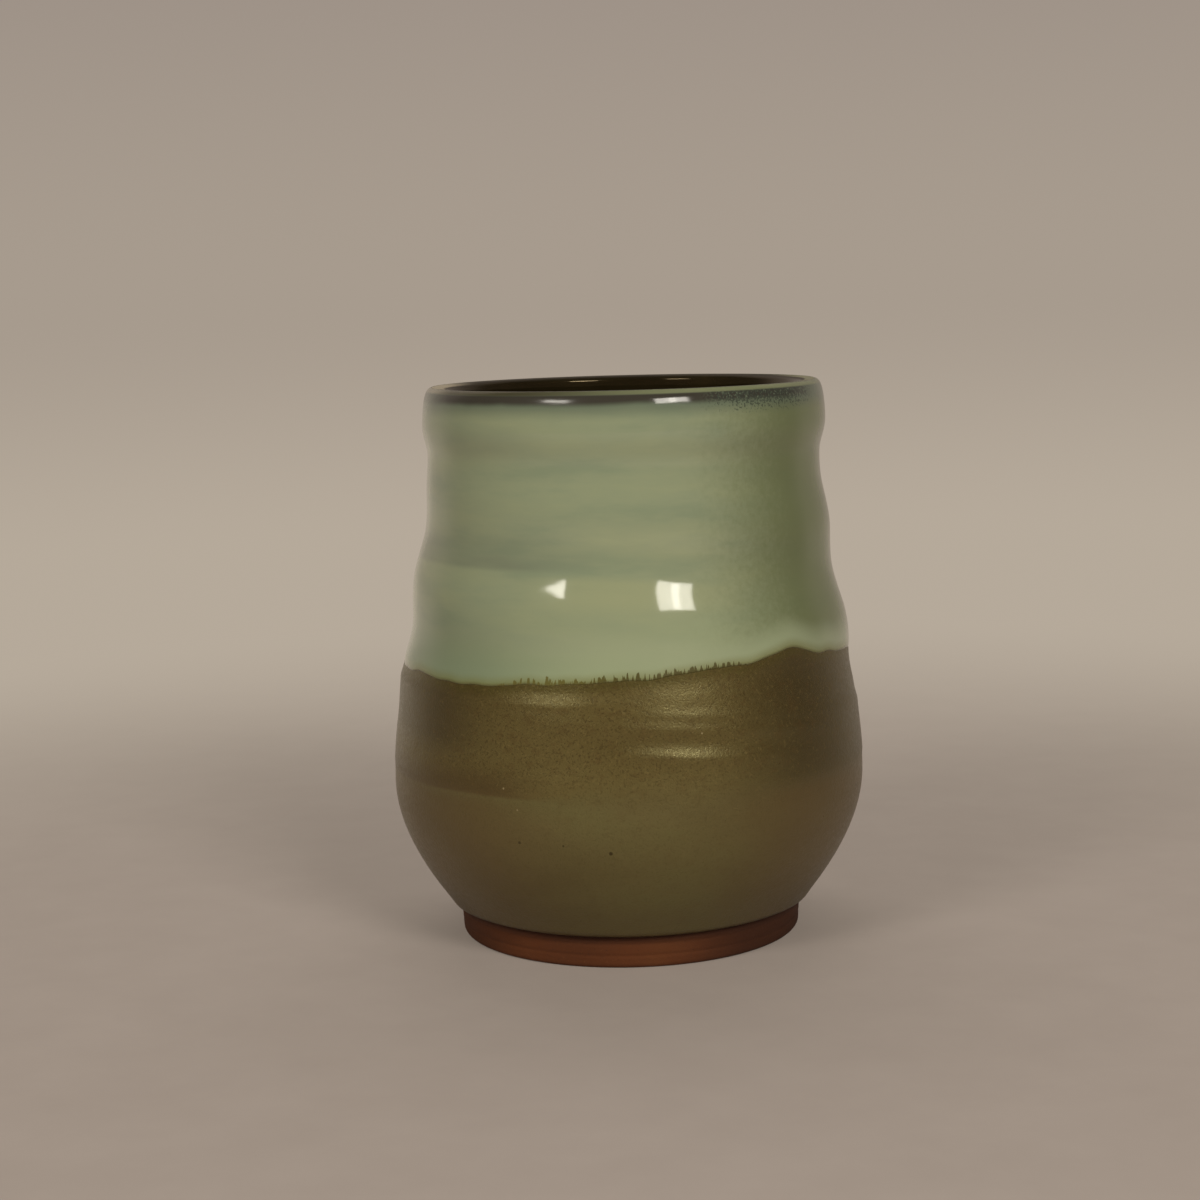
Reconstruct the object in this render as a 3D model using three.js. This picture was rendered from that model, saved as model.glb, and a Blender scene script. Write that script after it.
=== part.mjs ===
// A stoneware cup without a handle: a wheel-thrown clay body on a foot ring, under three coats of fired glaze.
// Millimetres, +Z up. The origin is the centre of the footprint, and the cup's front looks towards -Y.
import * as THREE from 'three';

// Clay wall, measured before glazing
const CLAY_HEIGHT = 99.4; // table to the crest of the lip
const BELLY_RADIUS = 42.3; // widest part of the wall
const BELLY_HEIGHT = 29; // table to the widest part
const BELLY_TURN = 18.9; // height that steers the round under the belly
const BELLY_EASE = 15; // how far the wall stays upright above the belly
const NECK_RADIUS = 34.65; // narrowest part below the lip
const NECK_DROP = 12; // crest down to the neck
const NECK_EASE = 13; // how far the wall stays upright below the neck
const FLARE_EASE = 2; // how far the flare stays upright at the neck and at the lip
const LIP_RADIUS = 35.6; // outside of the flared lip
const LIP_DROP = 6.4; // crest down to where the lip starts to round over
const LIP_FULLNESS = 0.7; // how far the lip stays upright before it rounds over, as a share
const LIP_INNER_ROUND = 0.8; // small round on the drinking edge
const WALL_AT_LIP = 3.1; // clay thickness at the lip
const WALL_AT_FLOOR = 5.5; // clay thickness low down
const FLOOR_THICKNESS = 5; // clay under the inside floor
const FLOOR_FLAT_RADIUS = 18; // level middle of the inside floor
const INSIDE_ROUND_HEIGHT = 15; // height of the round between floor and wall

// Foot ring of bare clay
const FOOT_HEIGHT = 6; // table to the crease under the belly
const FOOT_RADIUS = 31.3; // outside of the foot at the crease
const FOOT_TAPER = 0.3; // how much the foot draws in towards the table
const FOOT_WIDTH = 6.5; // breadth of the ring
const FOOT_ROUND = 1; // worn lower edges
const CREASE_STEP = 0.55; // overhang of the belly above the foot

// Glaze coats
const GLAZE_THICKNESS = 0.5;
const GLAZE_EDGE = 0.2; // thickness left at the feathered edges of the lap
const GLAZE_LINE_HEIGHT = 51.8; // mean height of the lower edge of the green coat
const GLAZE_LINE_WAVE = 1.8; // rise and fall of that edge round the cup
const GLAZE_LINE_PEAK = -58; // direction of one crest of the wave, degrees from +X
const GLAZE_LINE_CRESTS = 2; // crests of the wave in one turn
const GLAZE_LAP = 4; // how far the green coat overlaps the olive one
const WAVE_REACH = 18; // stretch of wall above and below over which the wave dies out
const BOND_GAP = 0.1; // clearance between a coat or the foot and the clay
const COAT_GAP = 0.3; // clearance between the green coat and the liner

// Marks of the wheel
const LEAN = 0.85; // sideways shift of the lip
const RIDGE_DEPTH = 0.5; // height of the spiral that the fingers leave
const RIDGE_PITCH = 19.3; // rise of that spiral in one turn
const RIDGE_CREST_HEIGHT = 55.8; // height at which the spiral crosses the +X side
const RIDGE_START = 38; // below here the wall was turned smooth
const RIDGE_FADE = 16; // stretch over which the spiral grows to full depth
const RIDGE_END = 70; // from here up the spiral dies out
const RIDGE_END_FADE = 25; // stretch over which it dies out

// Fineness of the solids
const ROUND_SIDES = 40;
const WALL_STEP = 4;
const CURVE_STEPS = 60; // points that trace one curve of the drawn outline
const ROUND_STEPS = 3; // points on each small round
const LIP_STEPS = 5; // points on the outside of the lip

const neckHeight = CLAY_HEIGHT - NECK_DROP;
const lipHeight = CLAY_HEIGHT - LIP_DROP;
const insideLipHeight = CLAY_HEIGHT - LIP_INNER_ROUND;
const floorHeight = FOOT_HEIGHT + FLOOR_THICKNESS;
const insideRoundTop = floorHeight + INSIDE_ROUND_HEIGHT;
const lapTop = GLAZE_LINE_HEIGHT + GLAZE_LAP;

// Outline of the clay outside: round under the belly, long ogee to the neck, flare to the lip
const outline = new THREE.Path();
outline.moveTo(FOOT_RADIUS + CREASE_STEP, FOOT_HEIGHT);
outline.quadraticCurveTo(BELLY_RADIUS, BELLY_TURN, BELLY_RADIUS, BELLY_HEIGHT);
outline.bezierCurveTo(
  BELLY_RADIUS, BELLY_HEIGHT + BELLY_EASE,
  NECK_RADIUS, neckHeight - NECK_EASE,
  NECK_RADIUS, neckHeight,
);
outline.bezierCurveTo(
  NECK_RADIUS, neckHeight + FLARE_EASE,
  LIP_RADIUS, lipHeight - FLARE_EASE,
  LIP_RADIUS, lipHeight,
);
const outlinePoints = outline.getPoints(CURVE_STEPS);
const outlineHeights = outlinePoints.map((point) => point.y);
const outlineRadii = outlinePoints.map((point) => point.x);
const outlineByHeight = new THREE.LinearInterpolant(outlineHeights, outlineRadii, 1);

function outsideRadius(height) {
  return outlineByHeight.evaluate(height)[0];
}

function insideRadius(height) {
  const share = THREE.MathUtils.clamp((height - floorHeight) / (lipHeight - floorHeight), 0, 1);
  return outsideRadius(height) - THREE.MathUtils.lerp(WALL_AT_FLOOR, WALL_AT_LIP, share);
}

// Evenly spaced points of a wall between two heights, both ends included.
function wallPoints(radiusAt, fromHeight, toHeight) {
  const steps = Math.ceil(Math.abs(toHeight - fromHeight) / WALL_STEP);
  return Array.from({ length: steps + 1 }, (_, step) => {
    const height = THREE.MathUtils.lerp(fromHeight, toHeight, step / steps);
    return new THREE.Vector2(radiusAt(height), height);
  });
}

// The clay's skin from the crease, up the outside, over the lip and down to the middle of the floor
const crestRadius = LIP_RADIUS - WALL_AT_LIP + LIP_INNER_ROUND;
const lipOutside = new THREE.CubicBezierCurve(
  new THREE.Vector2(LIP_RADIUS, lipHeight),
  new THREE.Vector2(LIP_RADIUS, lipHeight + LIP_DROP * LIP_FULLNESS),
  new THREE.Vector2(THREE.MathUtils.lerp(crestRadius, LIP_RADIUS, LIP_FULLNESS), CLAY_HEIGHT),
  new THREE.Vector2(crestRadius, CLAY_HEIGHT),
);
const lipInside = new THREE.EllipseCurve(
  crestRadius, insideLipHeight, LIP_INNER_ROUND, LIP_INNER_ROUND,
  Math.PI / 2 + COAT_GAP / LIP_INNER_ROUND, Math.PI,
);
const insideRoundRadius = insideRadius(insideRoundTop);
const floorRound = new THREE.CubicBezierCurve(
  new THREE.Vector2(insideRoundRadius, insideRoundTop),
  new THREE.Vector2(insideRoundRadius, (insideRoundTop + floorHeight) / 2),
  new THREE.Vector2((insideRoundRadius + FLOOR_FLAT_RADIUS) / 2, floorHeight),
  new THREE.Vector2(FLOOR_FLAT_RADIUS, floorHeight),
);
const stretches = {
  olive: wallPoints(outsideRadius, FOOT_HEIGHT, GLAZE_LINE_HEIGHT).slice(0, -1),
  lap: wallPoints(outsideRadius, GLAZE_LINE_HEIGHT, lapTop),
  green: wallPoints(outsideRadius, lapTop, lipHeight).slice(1),
  lip: lipOutside.getPoints(LIP_STEPS).slice(1),
  liner: [
    ...lipInside.getPoints(ROUND_STEPS),
    ...wallPoints(insideRadius, insideLipHeight, insideRoundTop).slice(1),
    ...floorRound.getPoints(ROUND_STEPS).slice(1),
    new THREE.Vector2(0, floorHeight),
  ],
};
const skin = Object.entries(stretches).flatMap(([stretch, points]) => (
  points.map((point) => ({ stretch, point }))
));
skin.forEach((place, index) => {
  const before = skin[Math.max(index - 1, 0)].point;
  const after = skin[Math.min(index + 1, skin.length - 1)].point;
  const along = after.clone().sub(before).normalize();
  place.outward = new THREE.Vector2(along.y, -along.x);
});

// Points at a given depth over the skin of the named stretches; the depth may change from point to point.
function skinOffset(names, depthAt) {
  return skin
    .filter((place) => names.includes(place.stretch))
    .map((place) => place.point.clone().addScaledVector(place.outward, depthAt(place)));
}

// A coat's outline: its face on the clay side one way, and its outer face back to the start.
function coatProfile(names, innerDepthAt, outerDepthAt) {
  const inner = skinOffset(names, innerDepthAt);
  const outer = skinOffset(names, outerDepthAt);
  return [...outer, ...inner.reverse(), outer[0].clone()];
}

const clayFace = () => BOND_GAP;
const coatFace = () => BOND_GAP + GLAZE_THICKNESS;

// Depth of the slanting joint where the olive coat thins out under the green one.
function lapDepth(place) {
  const share = THREE.MathUtils.clamp((place.point.y - GLAZE_LINE_HEIGHT) / GLAZE_LAP, 0, 1);
  return BOND_GAP + THREE.MathUtils.lerp(GLAZE_THICKNESS - GLAZE_EDGE, GLAZE_EDGE, share);
}

function oliveFace(place) {
  return place.stretch === 'lap' ? lapDepth(place) - BOND_GAP : coatFace();
}

function greenBack(place) {
  return place.stretch === 'lap' ? lapDepth(place) : clayFace();
}

// Shifts that the wheel and the dipping leave on a turned solid.
function glazeWave(angle, height) {
  const toLine = Math.max(GLAZE_LINE_HEIGHT - height, height - lapTop, 0);
  const strength = 1 - THREE.MathUtils.smoothstep(toLine, 0, WAVE_REACH);
  const peak = THREE.MathUtils.degToRad(GLAZE_LINE_PEAK);
  return strength * GLAZE_LINE_WAVE * Math.cos(GLAZE_LINE_CRESTS * (angle - peak));
}

function wheelShift(height) {
  const lean = LEAN * Math.max(height - FOOT_HEIGHT, 0) / (CLAY_HEIGHT - FOOT_HEIGHT);
  const grown = THREE.MathUtils.smoothstep(height, RIDGE_START, RIDGE_START + RIDGE_FADE);
  const gone = THREE.MathUtils.smoothstep(height, RIDGE_END, RIDGE_END + RIDGE_END_FADE);
  const depth = RIDGE_DEPTH * grown * (1 - gone);
  const turn = 2 * Math.PI * (height - RIDGE_CREST_HEIGHT) / RIDGE_PITCH;
  return new THREE.Vector2(lean + depth * Math.cos(turn), -depth * Math.sin(turn));
}

// Turns an outline about Z. The wave slides points along the wall, and each level then shifts sideways.
function turnedSolid(name, profile, material) {
  const geometry = new THREE.LatheGeometry(profile, ROUND_SIDES);
  geometry.rotateX(Math.PI / 2);
  const position = geometry.attributes.position;
  const point = new THREE.Vector3();
  for (let index = 0; index < position.count; index += 1) {
    point.fromBufferAttribute(position, index);
    const angle = Math.atan2(point.y, point.x);
    const radius = Math.hypot(point.x, point.y);
    const height = point.z + glazeWave(angle, point.z);
    const slidRadius = radius > 0 ? radius + outsideRadius(height) - outsideRadius(point.z) : 0;
    const shift = wheelShift(height);
    const x = slidRadius * Math.cos(angle) + shift.x;
    const y = slidRadius * Math.sin(angle) + shift.y;
    position.setXYZ(index, x, y, height);
  }
  geometry.computeVertexNormals();
  const mesh = new THREE.Mesh(geometry, material);
  mesh.name = name;
  return mesh;
}

function clayBody() {
  const everywhere = Object.keys(stretches);
  const profile = [new THREE.Vector2(0, FOOT_HEIGHT), ...skinOffset(everywhere, () => 0)];
  const material = new THREE.MeshStandardMaterial({ color: 0x6b4430, roughness: 0.9, metalness: 0 });
  return turnedSolid('clay_body', profile, material);
}

function footRing() {
  const top = FOOT_HEIGHT - BOND_GAP;
  const boreRadius = FOOT_RADIUS - FOOT_WIDTH;
  const baseRadius = FOOT_RADIUS - FOOT_TAPER;
  const ring = new THREE.Path();
  ring.moveTo(boreRadius, top);
  ring.lineTo(boreRadius, FOOT_ROUND);
  ring.absarc(boreRadius + FOOT_ROUND, FOOT_ROUND, FOOT_ROUND, Math.PI, 1.5 * Math.PI);
  ring.absarc(baseRadius - FOOT_ROUND, FOOT_ROUND, FOOT_ROUND, 1.5 * Math.PI, 2 * Math.PI);
  ring.lineTo(FOOT_RADIUS, top);
  ring.closePath();
  const material = new THREE.MeshStandardMaterial({ color: 0x5a3520, roughness: 0.9, metalness: 0 });
  return turnedSolid('foot_ring', ring.getPoints(ROUND_STEPS), material);
}

function oliveGlaze() {
  const profile = coatProfile(['olive', 'lap'], clayFace, oliveFace);
  const material = new THREE.MeshStandardMaterial({ color: 0x5c4d2b, roughness: 0.45, metalness: 0 });
  return turnedSolid('olive_glaze', profile, material);
}

function greenGlaze() {
  const profile = coatProfile(['lap', 'green', 'lip'], greenBack, coatFace);
  const material = new THREE.MeshStandardMaterial({ color: 0x8b8c68, roughness: 0.15, metalness: 0 });
  return turnedSolid('green_glaze', profile, material);
}

function linerGlaze() {
  const inner = skinOffset(['liner'], coatFace);
  const back = skinOffset(['liner'], clayFace);
  const profile = [...back.reverse(), ...inner];
  const material = new THREE.MeshStandardMaterial({ color: 0x1f190e, roughness: 0.15, metalness: 0 });
  return turnedSolid('liner_glaze', profile, material);
}

const cup = new THREE.Group();
cup.add(clayBody(), footRing(), oliveGlaze(), greenGlaze(), linerGlaze());

export default cup;
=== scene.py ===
# %% [markdown]
# # A thrown stoneware cup
# The cup is one clay form under three coats of glaze: olive low down, green above it up to the lip, and a
# dark liner inside. Its sizes were settled in the CAD model, which is loaded first and stays as the fixed
# frame. Each CAD solid is then replaced by a finer mesh in the same place, with the marks of the wheel and
# of the kiln.

# %% Load the frame
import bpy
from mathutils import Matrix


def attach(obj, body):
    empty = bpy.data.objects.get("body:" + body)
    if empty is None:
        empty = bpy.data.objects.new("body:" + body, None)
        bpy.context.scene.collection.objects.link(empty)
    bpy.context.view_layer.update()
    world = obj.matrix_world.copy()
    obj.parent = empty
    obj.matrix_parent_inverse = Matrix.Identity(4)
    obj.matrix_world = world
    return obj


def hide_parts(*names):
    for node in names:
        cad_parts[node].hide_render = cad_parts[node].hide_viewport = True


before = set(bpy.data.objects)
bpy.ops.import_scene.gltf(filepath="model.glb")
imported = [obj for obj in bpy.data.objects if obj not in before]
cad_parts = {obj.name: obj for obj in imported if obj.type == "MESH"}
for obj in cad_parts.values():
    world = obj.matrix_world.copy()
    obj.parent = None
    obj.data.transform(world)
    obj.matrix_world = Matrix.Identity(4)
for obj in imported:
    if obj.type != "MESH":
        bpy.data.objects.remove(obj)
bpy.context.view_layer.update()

# %% Tools for the lesson
import math

import bmesh
import bpy
import numpy as np
from mathutils import Matrix, Vector
from mathutils.geometry import interpolate_bezier

MM = 0.001  # Blender works in metres, a potter in millimetres

# %% [markdown]
# ## The outline of the wall
# A pot is turned, so its whole form is one outline. It could be drawn as a curve object, but a list of
# points is easier to offset into coats. Three Bezier stretches give the clay's outside: the round under the
# belly, the long reverse curve up to the neck, and the flare of the lip. The values are the ones that the
# CAD model uses.

# %% Outline of the clay
CREASE = Vector((31.85, 6.0))  # where the belly meets the foot: radius and height
BELLY = Vector((42.3, 29.0))
BELLY_TURN = 18.9  # height that steers the round under the belly
BELLY_EASE = 15.0  # how far the wall stays upright above the belly
NECK = Vector((34.65, 87.4))
NECK_EASE = 13.0  # how far it stays upright below the neck
FLARE_EASE = 2.0  # how far the flare stays upright at neck and lip
LIP = Vector((35.6, 93.0))  # where the lip starts to round over
CURVE_POINTS = 80


def eased(start, corner, end):
    """Cubic handles for a quadratic curve from start to end that bends towards corner."""
    return interpolate_bezier(start, start.lerp(corner, 2 / 3), end.lerp(corner, 2 / 3), end, CURVE_POINTS)


under_belly = eased(CREASE, Vector((BELLY.x, BELLY_TURN)), BELLY)
belly_handle = BELLY + Vector((0, BELLY_EASE))
neck_handle = NECK - Vector((0, NECK_EASE))
long_curve = interpolate_bezier(BELLY, belly_handle, neck_handle, NECK, CURVE_POINTS)
flare_handle = Vector((0, FLARE_EASE))
flare = interpolate_bezier(NECK, NECK + flare_handle, LIP - flare_handle, LIP, CURVE_POINTS)
outline = np.array([*under_belly, *long_curve[1:], *flare[1:]])


def wall_radius(height):
    """Outside radius of the clay at a height, in millimetres."""
    return np.interp(height, outline[:, 1], outline[:, 0])


print("belly", wall_radius(BELLY.y), "neck", wall_radius(NECK.y))

# %% [markdown]
# ## The skin of the clay
# Every coat lies on the clay's skin, so the skin is listed once, from the crease up the outside, over the
# lip and down to the middle of the floor. Each point keeps its outward direction, and a coat is then the
# same points moved out by its depth. A modifier could thicken a surface too, but here the depth changes
# along the wall.

# %% Inside of the wall
CREST = 99.4  # height of the clay's lip
WALL_AT_LIP = 3.1
WALL_AT_FLOOR = 5.5
FLOOR = 11.0  # height of the inside floor


def inside_radius(height):
    """Inside radius of the clay: the wall thins from the floor to the lip."""
    share = np.clip((height - FLOOR) / (LIP.y - FLOOR), 0, 1)
    return wall_radius(height) - (WALL_AT_FLOOR + (WALL_AT_LIP - WALL_AT_FLOOR) * share)


def wall_rows(radius_at, start, end, step):
    """Points up or down a wall, both ends included."""
    count = math.ceil(abs(end - start) / step)
    return [Vector((radius_at(height), height)) for height in np.linspace(start, end, count + 1)]


def arc(centre, wide, tall, start, end, count):
    """Points of an ellipse between two angles, both ends included."""
    angles = np.linspace(start, end, count + 1)
    return [centre + Vector((wide * math.cos(angle), tall * math.sin(angle))) for angle in angles]


# %% Lip and floor rounds
LIP_UPRIGHT = 0.3  # how far the outside stays upright before it rounds over, as a share
LIP_LEVEL = 0.75  # how far the crest stays level before it rounds over, as a share
LIP_ROUND = 1.8  # round on the drinking edge
LIP_DROP = 0.35  # how far that round comes down inside
LIP_POINTS = 20  # on the lip's outside
EDGE_POINTS = 14  # on the drinking edge
COAT_GAP = 0.03  # between the green coat and the liner on the crest
FLOOR_FLAT = 18.0  # radius of the level middle of the floor
FLOOR_ROUND = 15.0  # height of the round between floor and wall
FLOOR_POINTS = 24  # on that round
FLOOR_RINGS = 10  # on the level middle
crest = Vector((LIP.x - WALL_AT_LIP + LIP_ROUND, CREST))
lip_upright = LIP.lerp(Vector((LIP.x, CREST)), LIP_UPRIGHT)
lip_level = crest.lerp(Vector((LIP.x, CREST)), LIP_LEVEL)
lip_outside = interpolate_bezier(LIP, lip_upright, lip_level, crest, LIP_POINTS)[1:]
lip_centre = crest - Vector((0, LIP_DROP))
edge_start = math.pi / 2 + COAT_GAP / LIP_ROUND
lip_inside = arc(lip_centre, LIP_ROUND, LIP_DROP, edge_start, math.pi, EDGE_POINTS)
round_top = Vector((inside_radius(FLOOR + FLOOR_ROUND), FLOOR + FLOOR_ROUND))
round_end = Vector((FLOOR_FLAT, FLOOR))
round_side = Vector((round_top.x, FLOOR + FLOOR_ROUND / 2))
round_base = Vector(((round_top.x + FLOOR_FLAT) / 2, FLOOR))
floor_round = interpolate_bezier(round_top, round_side, round_base, round_end, FLOOR_POINTS)[1:]
floor_flat = [Vector((radius, FLOOR)) for radius in np.linspace(FLOOR_FLAT, 0, FLOOR_RINGS)[1:]]

# %% Skin points with their outward directions
LINE = 51.8  # mean height of the green coat's lower edge
LAP = 4.0  # how far the green coat covers the olive one
ROW = 0.8  # spacing of the rows up the outside
INSIDE_ROW = 1.2  # spacing of the rows down the inside
RIBBED = 36.0  # from here to the line the rows lie closer, because the wall is finely ribbed
stretches = {
    "olive": [
        *wall_rows(wall_radius, CREASE.y, RIBBED, ROW)[:-1],
        *wall_rows(wall_radius, RIBBED, LINE, ROW / 3)[:-1],
    ],
    "lap": wall_rows(wall_radius, LINE, LINE + LAP, ROW / 4),
    "green": wall_rows(wall_radius, LINE + LAP, LIP.y, ROW)[1:],
    "lip": lip_outside,
    "liner": [
        *lip_inside,
        *wall_rows(inside_radius, lip_centre.y, round_top.y, INSIDE_ROW)[1:],
        *floor_round,
        *floor_flat,
    ],
}
skin = [(name, point) for name, points in stretches.items() for point in points]
skin_points = np.array([point for _, point in skin])
along = np.gradient(skin_points, axis=0)
along /= np.linalg.norm(along, axis=1)[:, None]
skin_outward = np.stack([along[:, 1], -along[:, 0]], axis=1)
print("skin points:", {name: len(points) for name, points in stretches.items()})

# %% [markdown]
# ## Turning a piece
# The spin operator is Blender's potter's wheel: it sweeps an outline round the Z axis. It slows down with
# the square of its steps, so one wedge is swept and then repeated round the axis by a second spin that
# duplicates. Doubles along the seams and on the axis are merged, and only then are the normals recalculated.

# %% Wheel helper
WEDGES = 8
MERGE = 0.002  # points closer than this are one


def offset_points(names, depth_at):
    """Skin points of the named stretches, moved outwards by depth_at(height) in millimetres."""
    chosen = [index for index, (name, _) in enumerate(skin) if name in names]
    depths = np.array([depth_at(skin_points[index, 1]) for index in chosen])
    return skin_points[chosen] + skin_outward[chosen] * depths[:, None]


def turned(name, profile, wedge_steps):
    """A mesh object made by spinning a profile of radius and height in millimetres."""
    bm = bmesh.new()
    points = [bm.verts.new((radius * MM, 0, height * MM)) for radius, height in profile]
    edges = [bm.edges.new(pair) for pair in zip(points, points[1:])]
    wedge = 2 * math.pi / WEDGES
    wheel = {"cent": (0, 0, 0), "axis": (0, 0, 1)}
    bmesh.ops.spin(bm, geom=points + edges, angle=wedge, steps=wedge_steps, **wheel)
    whole = [*bm.verts, *bm.edges, *bm.faces]
    others = WEDGES - 1
    bmesh.ops.spin(bm, geom=whole, angle=wedge * others, steps=others, use_duplicate=True, **wheel)
    bmesh.ops.remove_doubles(bm, verts=bm.verts, dist=MERGE * MM)
    bmesh.ops.recalc_face_normals(bm, faces=bm.faces)
    mesh = bpy.data.meshes.new(name)
    bm.to_mesh(mesh)
    bm.free()
    mesh.shade_smooth()
    piece = bpy.data.objects.new(name, mesh)
    bpy.context.scene.collection.objects.link(piece)
    print(name, "faces:", len(mesh.polygons))
    return piece


# %% [markdown]
# ## Marks of the wheel
# A thrown wall isn't a perfect turning. The fingers leave a rising spiral, the rim leans a little, and fine
# ridges stay where no tool smoothed them. A displacement texture could fake this, but the marks must agree
# on every coat, so one function moves the points of the body and of each coat by the same rules.

# %% Glaze line
WAVE = 1.8  # rise and fall of the glaze line
WAVE_PEAK = math.radians(-58)
WAVE_REACH = 18.0  # stretch of wall over which the wave dies out
# Small bumps of the line: direction in degrees, height and width in degrees
BUMPS = [(-87, -0.8, 20), (-46, 1.7, 7), (-151, 0.75, 8), (38, 1.1, 12), (96, 0.8, 9)]
RIPPLES = [(17, 0.10), (29, 0.08), (43, 0.05)]  # crests in a turn, height


def ramp_up(value, start, end):
    """0 below start, 1 above end, smooth between."""
    share = np.clip((value - start) / (end - start), 0, 1)
    return share * share * (3 - 2 * share)


def line_shift(angle):
    """How far the glaze line lies above its mean height in a direction."""
    shift = WAVE * np.cos(2 * (angle - WAVE_PEAK))
    for direction, height, width in BUMPS:
        away = np.degrees(np.angle(np.exp(1j * (angle - math.radians(direction)))))
        shift = shift + height * np.exp(-((away / width) ** 2))
    for crests, height in RIPPLES:
        shift = shift + height * np.sin(crests * angle + crests)
    return shift


# %% Ridges outside
SPIRAL_PITCH = 19.3  # rise of the thrower's spiral in one turn
FINGER_DEPTH = 0.012  # of the fine finger ridges above the line
FINGER_PITCH = 5.3
FINGER_RISE = (44, 58)  # heights over which they set in
TOOL_STEP = 0.14  # step that the turning tool left below the shoulder
TOOL_EDGE = (31.6, 32.8)  # foot and top of that step
RIB_FADE = 15  # degrees from a rib's end over which it fades, to each side
SOFT_TOP = 2.0  # a rib's upper side is this much softer than its lower one
# Small ribs, level on the left and winding down on the right: height, tilt, half width, and the bearings
# that they span
RIBS = [
    (48.6, 0.17, 0.9, -100, -4),
    (47.1, 0.13, 0.9, 6, 100),
    (44.7, 0.15, 1.1, -10, 50),
    (40.4, 0.24, 1.4, -4, 34),
    (36.6, 0.05, 1.0, -60, 0),
]


def outer_ridges(angle, height):
    """Fine ridges of the outside: fingers above, ribs on the shoulder of the belly, turned smooth below."""
    uneven = 0.65 + 0.35 * np.sin(2 * angle + height / 9)
    fingers = FINGER_DEPTH * np.cos(2 * math.pi * height / FINGER_PITCH + angle) * uneven
    bearing = np.degrees(np.angle(np.exp(1j * (angle + math.pi / 2))))
    wound = height + np.maximum(bearing, 0) * SPIRAL_PITCH / 360
    ribs = 0
    for level, tilt, width, start, end in RIBS:
        begun = ramp_up(bearing, start - RIB_FADE, start + RIB_FADE)
        ended = ramp_up(bearing, end - RIB_FADE, end + RIB_FADE)
        reach = begun * (1 - ended)
        away = wound - level
        side = np.where(away > 0, SOFT_TOP * width, width)
        ribs = ribs - reach * tilt * away * np.exp(-((away / side) ** 2))
    turned_step = TOOL_STEP * ramp_up(height, *TOOL_EDGE)
    return fingers * ramp_up(height, *FINGER_RISE) + ribs + turned_step


# %% Ridges inside
INNER_DEPTH = 0.28
INNER_PITCH = 9.5
INNER_RISE = (14, 30)  # heights over which they set in
INNER_FADE = (82, 97)  # heights over which they die out


def inner_ridges(angle, height):
    """The fingers' spiral inside, deepest half way up."""
    depth = INNER_DEPTH * ramp_up(height, *INNER_RISE) * (1 - ramp_up(height, *INNER_FADE))
    return depth * np.cos(2 * math.pi * height / INNER_PITCH - angle)


# %% Apply the marks to a piece
LEAN = 0.85  # how far the crest lies to the right of the foot
SPIRAL_DEPTH = 0.5  # how far the thrower's spiral pushes the wall aside
SPIRAL_CREST = 56.6  # height at which the spiral crosses the right side
SPIRAL_START = 38.0
SPIRAL_FADE = 16.0
SPIRAL_END = 70.0  # from here up the spiral dies out
SPIRAL_END_FADE = 25.0


def throw(piece):
    """Moves a turned piece's points by the marks of wheel and dip, and notes their height above the line."""
    mesh = piece.data
    place = np.empty(len(mesh.vertices) * 3)
    mesh.vertices.foreach_get("co", place)
    x, y, height = (place.reshape(-1, 3) / MM).T
    angle = np.arctan2(y, x)
    radius = np.hypot(x, y)
    from_line = np.maximum(np.maximum(LINE - height, height - LINE - LAP), 0)
    slid = height + line_shift(angle) * (1 - ramp_up(from_line, 0, WAVE_REACH))
    outside = radius > wall_radius(height) - WALL_AT_LIP / 2
    marks = np.where(outside, outer_ridges(angle, slid), inner_ridges(angle, slid))
    off_axis = ramp_up(radius, 0, FLOOR_FLAT)
    radius = radius + (wall_radius(slid) - wall_radius(height) + marks) * off_axis
    grown = ramp_up(slid, SPIRAL_START, SPIRAL_START + SPIRAL_FADE)
    gone = ramp_up(slid, SPIRAL_END, SPIRAL_END + SPIRAL_END_FADE)
    spiral = SPIRAL_DEPTH * grown * (1 - gone)
    turn = 2 * math.pi * (slid - SPIRAL_CREST) / SPIRAL_PITCH
    lean = LEAN * np.maximum(slid - CREASE.y, 0) / (CREST - CREASE.y)
    x = radius * np.cos(angle) + lean + spiral * np.cos(turn)
    y = radius * np.sin(angle) - spiral * np.sin(turn)
    mesh.vertices.foreach_set("co", (np.stack([x, y, slid], axis=1) * MM).ravel())
    above = mesh.attributes.new("above_line", "FLOAT", "POINT")
    above.data.foreach_set("value", height - LINE)
    mesh.update()
    return piece


# %% [markdown]
# ## The clay body and its foot
# The clay shows only where no glaze was put: on the foot ring and on the underside within it. The body is
# spun from the whole skin, closed by its turned underside, whose shallow rings come from the turning tool.
# The foot could be part of the same outline, but it is a ring of its own, joined with slip, with worn edges
# and two tool lines on its side, so it is spun on its own.

# %% Clay body
RING_PITCH = 2.6  # spacing of the tool's rings under the cup
RING_DEPTH = 0.09
UNDERSIDE = 24.0  # radius of the turned underside
UNDERSIDE_POINTS = 70
underside = [(radius, CREASE.y + RING_DEPTH * math.sin(2 * math.pi * radius / RING_PITCH))
             for radius in np.linspace(0, UNDERSIDE, UNDERSIDE_POINTS)]
clay_skin = offset_points(stretches, lambda height: 0.0)
clay_body = throw(turned("clay_body_piece", [*underside, *clay_skin], wedge_steps=24))

# %% Foot ring
FOOT_TOP = 5.9
FOOT_OUT = 31.3
FOOT_BASE = 31.0
FOOT_BORE = 24.8
FOOT_ROUND = 1.0
FOOT_ROW = 0.2  # spacing of the rows up its side
FOOT_ARC_POINTS = 6
TOOL_LINES = (2.3, 4.4)  # heights of the two lines
TOOL_LINE_DEPTH = 0.12
TOOL_LINE_WIDTH = 0.28


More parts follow.
